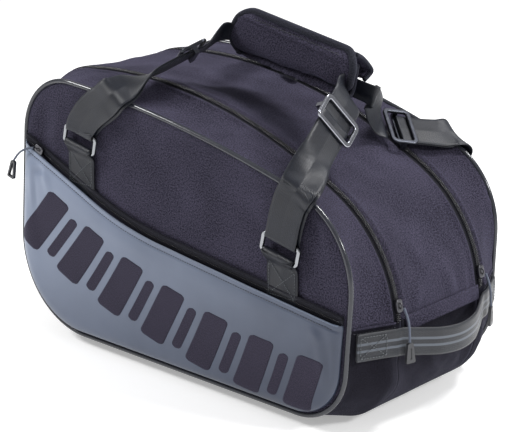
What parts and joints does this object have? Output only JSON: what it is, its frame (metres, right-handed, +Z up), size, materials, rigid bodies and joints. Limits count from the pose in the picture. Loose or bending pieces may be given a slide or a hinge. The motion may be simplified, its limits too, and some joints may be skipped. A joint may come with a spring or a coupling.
{
  "type": "racket sports paddle case",
  "caption": "Soft domed sports case for court paddles with zipped front and rear covers, a coated front pocket, webbing handles with a wrap grip and a side grab handle.",
  "frame": {"origin": "middle of the flat base, on the surface it stands on", "axes": "+Z up, -Y the front with the pocket, +X the end with the side grab handle"},
  "size_m": [0.5286, 0.2782, 0.3808],
  "materials": {
    "body_fabric": "fine heathered weave, matt",
    "coated_fabric": "smooth coated cloth with a soft sheen",
    "webbing": "ribbed webbing with a slight sheen",
    "piping": "smooth satin piping",
    "binding": "woven binding tape",
    "zip_tape": "woven zip tape",
    "zip_teeth": "moulded coil teeth",
    "board": "matt board",
    "ring_metal": "dark plated metal",
    "glide_metal": "bright plated metal",
    "slider_metal": "dark lacquered metal",
    "pull_cord": "braided cord",
    "pull_tab": "moulded plastic"
  },
  "bodies": {
    "carcass": {"base_strip": "body_fabric", "middle_gusset": "body_fabric", "front_zip_inner_tape": "zip_tape", "front_zip_inner_teeth": "zip_teeth", "rear_zip_inner_tape": "zip_tape", "rear_zip_inner_teeth": "zip_teeth", "base_board": "board", "divider": "body_fabric", "grab_handle": "webbing"},
    "front_cover": {"front_gusset": "body_fabric", "front_zip_outer_tape": "zip_tape", "front_zip_outer_teeth": "zip_teeth", "front_panel": "body_fabric", "front_piping": "piping", "pocket_panel": "coated_fabric", "pocket_zip_tape": "zip_tape", "pocket_zip_teeth": "zip_teeth", "front_anchor_left": "webbing", "front_anchor_right": "webbing"},
    "rear_cover": {"rear_gusset": "body_fabric", "rear_zip_outer_tape": "zip_tape", "rear_zip_outer_teeth": "zip_teeth", "rear_panel": "body_fabric", "rear_piping": "piping", "rear_anchor_left": "webbing", "rear_anchor_right": "webbing"},
    "front_handle": {"front_ring_left": "ring_metal", "front_ring_right": "ring_metal", "front_loop_left": "webbing", "front_loop_right": "webbing", "front_strap": "webbing", "grip_back": "body_fabric", "grip_hood": "body_fabric"},
    "rear_handle": {"rear_ring_left": "ring_metal", "rear_ring_right": "ring_metal", "rear_loop_left": "webbing", "rear_loop_right": "webbing", "rear_strap": "webbing"},
    "grip_flap": {"grip_pad": "body_fabric", "grip_binding": "binding"},
    "front_glide_left": {"front_glide_left": "glide_metal"},
    "front_glide_right": {"front_glide_right": "glide_metal"},
    "rear_glide_left": {"rear_glide_left": "glide_metal"},
    "rear_glide_right": {"rear_glide_right": "glide_metal"},
    "front_zip_slider": {"front_zip_slider": "slider_metal"},
    "front_zip_pull": {"front_zip_cord": "pull_cord", "front_zip_tab": "pull_tab"},
    "rear_zip_slider": {"rear_zip_slider": "slider_metal"},
    "rear_zip_pull": {"rear_zip_cord": "pull_cord", "rear_zip_tab": "pull_tab"},
    "rear_top_slider": {"rear_top_slider": "slider_metal"},
    "rear_top_pull": {"rear_top_cord": "pull_cord", "rear_top_tab": "pull_tab"},
    "pocket_slider": {"pocket_slider": "slider_metal"},
    "pocket_pull": {"pocket_cord": "pull_cord", "pocket_tab": "pull_tab"}
  },
  "joints": [
    {"name": "front_cover_hinge", "type": "hinge", "parent": "carcass", "child": "front_cover", "pos_m": [0, -0.124, 0.012], "axis": [1, 0, 0], "range_deg": [0, 16]},
    {"name": "rear_cover_hinge", "type": "hinge", "parent": "carcass", "child": "rear_cover", "pos_m": [0, 0.124, 0.012], "axis": [-1, 0, 0], "range_deg": [0, 16]},
    {"name": "front_zip_travel", "type": "hinge", "parent": "carcass", "child": "front_zip_slider", "pos_m": [0.104, -0.07, 0.09819], "axis": [0, -1, 0], "range_deg": [0, 47]},
    {"name": "rear_zip_travel", "type": "hinge", "parent": "carcass", "child": "rear_zip_slider", "pos_m": [0.104, 0.07, 0.09819], "axis": [0, -1, 0], "range_deg": [0, 47]},
    {"name": "rear_top_travel", "type": "hinge", "parent": "carcass", "child": "rear_top_slider", "pos_m": [-0.11, 0.07, -0.278], "axis": [0, 1, 0], "range_deg": [-11, 4]},
    {"name": "pocket_travel", "type": "slide", "parent": "front_cover", "child": "pocket_slider", "axis": [0.9222, 0, -0.3866], "range_m": [0, 0.03]},
    {"name": "front_pull_lift", "type": "hinge", "parent": "front_zip_slider", "child": "front_zip_pull", "pos_m": [0.2575, -0.07, 0.1324], "axis": [0, -1, 0], "range_deg": [0, 110]},
    {"name": "rear_pull_lift", "type": "hinge", "parent": "rear_zip_slider", "child": "rear_zip_pull", "pos_m": [0.2575, 0.07, 0.1324], "axis": [0, -1, 0], "range_deg": [0, 110]},
    {"name": "rear_top_pull_lift", "type": "hinge", "parent": "rear_top_slider", "child": "rear_top_pull", "pos_m": [-0.0362, 0.07, 0.3081], "axis": [0, -1, 0], "range_deg": [0, 55]},
    {"name": "pocket_pull_lift", "type": "hinge", "parent": "pocket_slider", "child": "pocket_pull", "pos_m": [-0.203, -0.1346, 0.2176], "axis": [-0.5757, 0, 0.8177], "range_deg": [0, 110]},
    {"name": "front_handle_swing", "type": "hinge", "parent": "front_cover", "child": "front_handle", "pos_m": [-0.132, -0.1316, 0.231], "axis": [0.9798, 0, -0.2001], "range_deg": [0, 130]},
    {"name": "rear_handle_swing", "type": "hinge", "parent": "rear_cover", "child": "rear_handle", "pos_m": [-0.132, 0.1316, 0.231], "axis": [-0.9798, 0, 0.2001], "range_deg": [0, 130]},
    {"name": "front_glide_left_slide", "type": "slide", "parent": "front_handle", "child": "front_glide_left", "axis": [0.437, 0.8064, 0.3984], "range_m": [-0.012, 0.003]},
    {"name": "front_glide_right_slide", "type": "slide", "parent": "front_handle", "child": "front_glide_right", "axis": [-0.1823, 0.8171, 0.5469], "range_m": [-0.012, 0.012]},
    {"name": "rear_glide_left_slide", "type": "slide", "parent": "rear_handle", "child": "rear_glide_left", "axis": [0.4494, -0.8489, 0.2782], "range_m": [-0.012, 0.012]},
    {"name": "rear_glide_right_slide", "type": "slide", "parent": "rear_handle", "child": "rear_glide_right", "axis": [-0.5291, -0.8314, 0.1701], "range_m": [-0.01, 0.002]},
    {"name": "grip_flap_fold", "type": "hinge", "parent": "front_handle", "child": "grip_flap", "pos_m": [0.05783, -0.014, 0.31987], "axis": [0.9848, 0, -0.1736], "range_deg": [0, 24]}
  ],
  "couplings": [
    {"joint": "front_zip_travel", "follows": "front_cover_hinge", "ratio": 2.9},
    {"joint": "rear_zip_travel", "follows": "rear_cover_hinge", "ratio": 2.9}
  ]
}
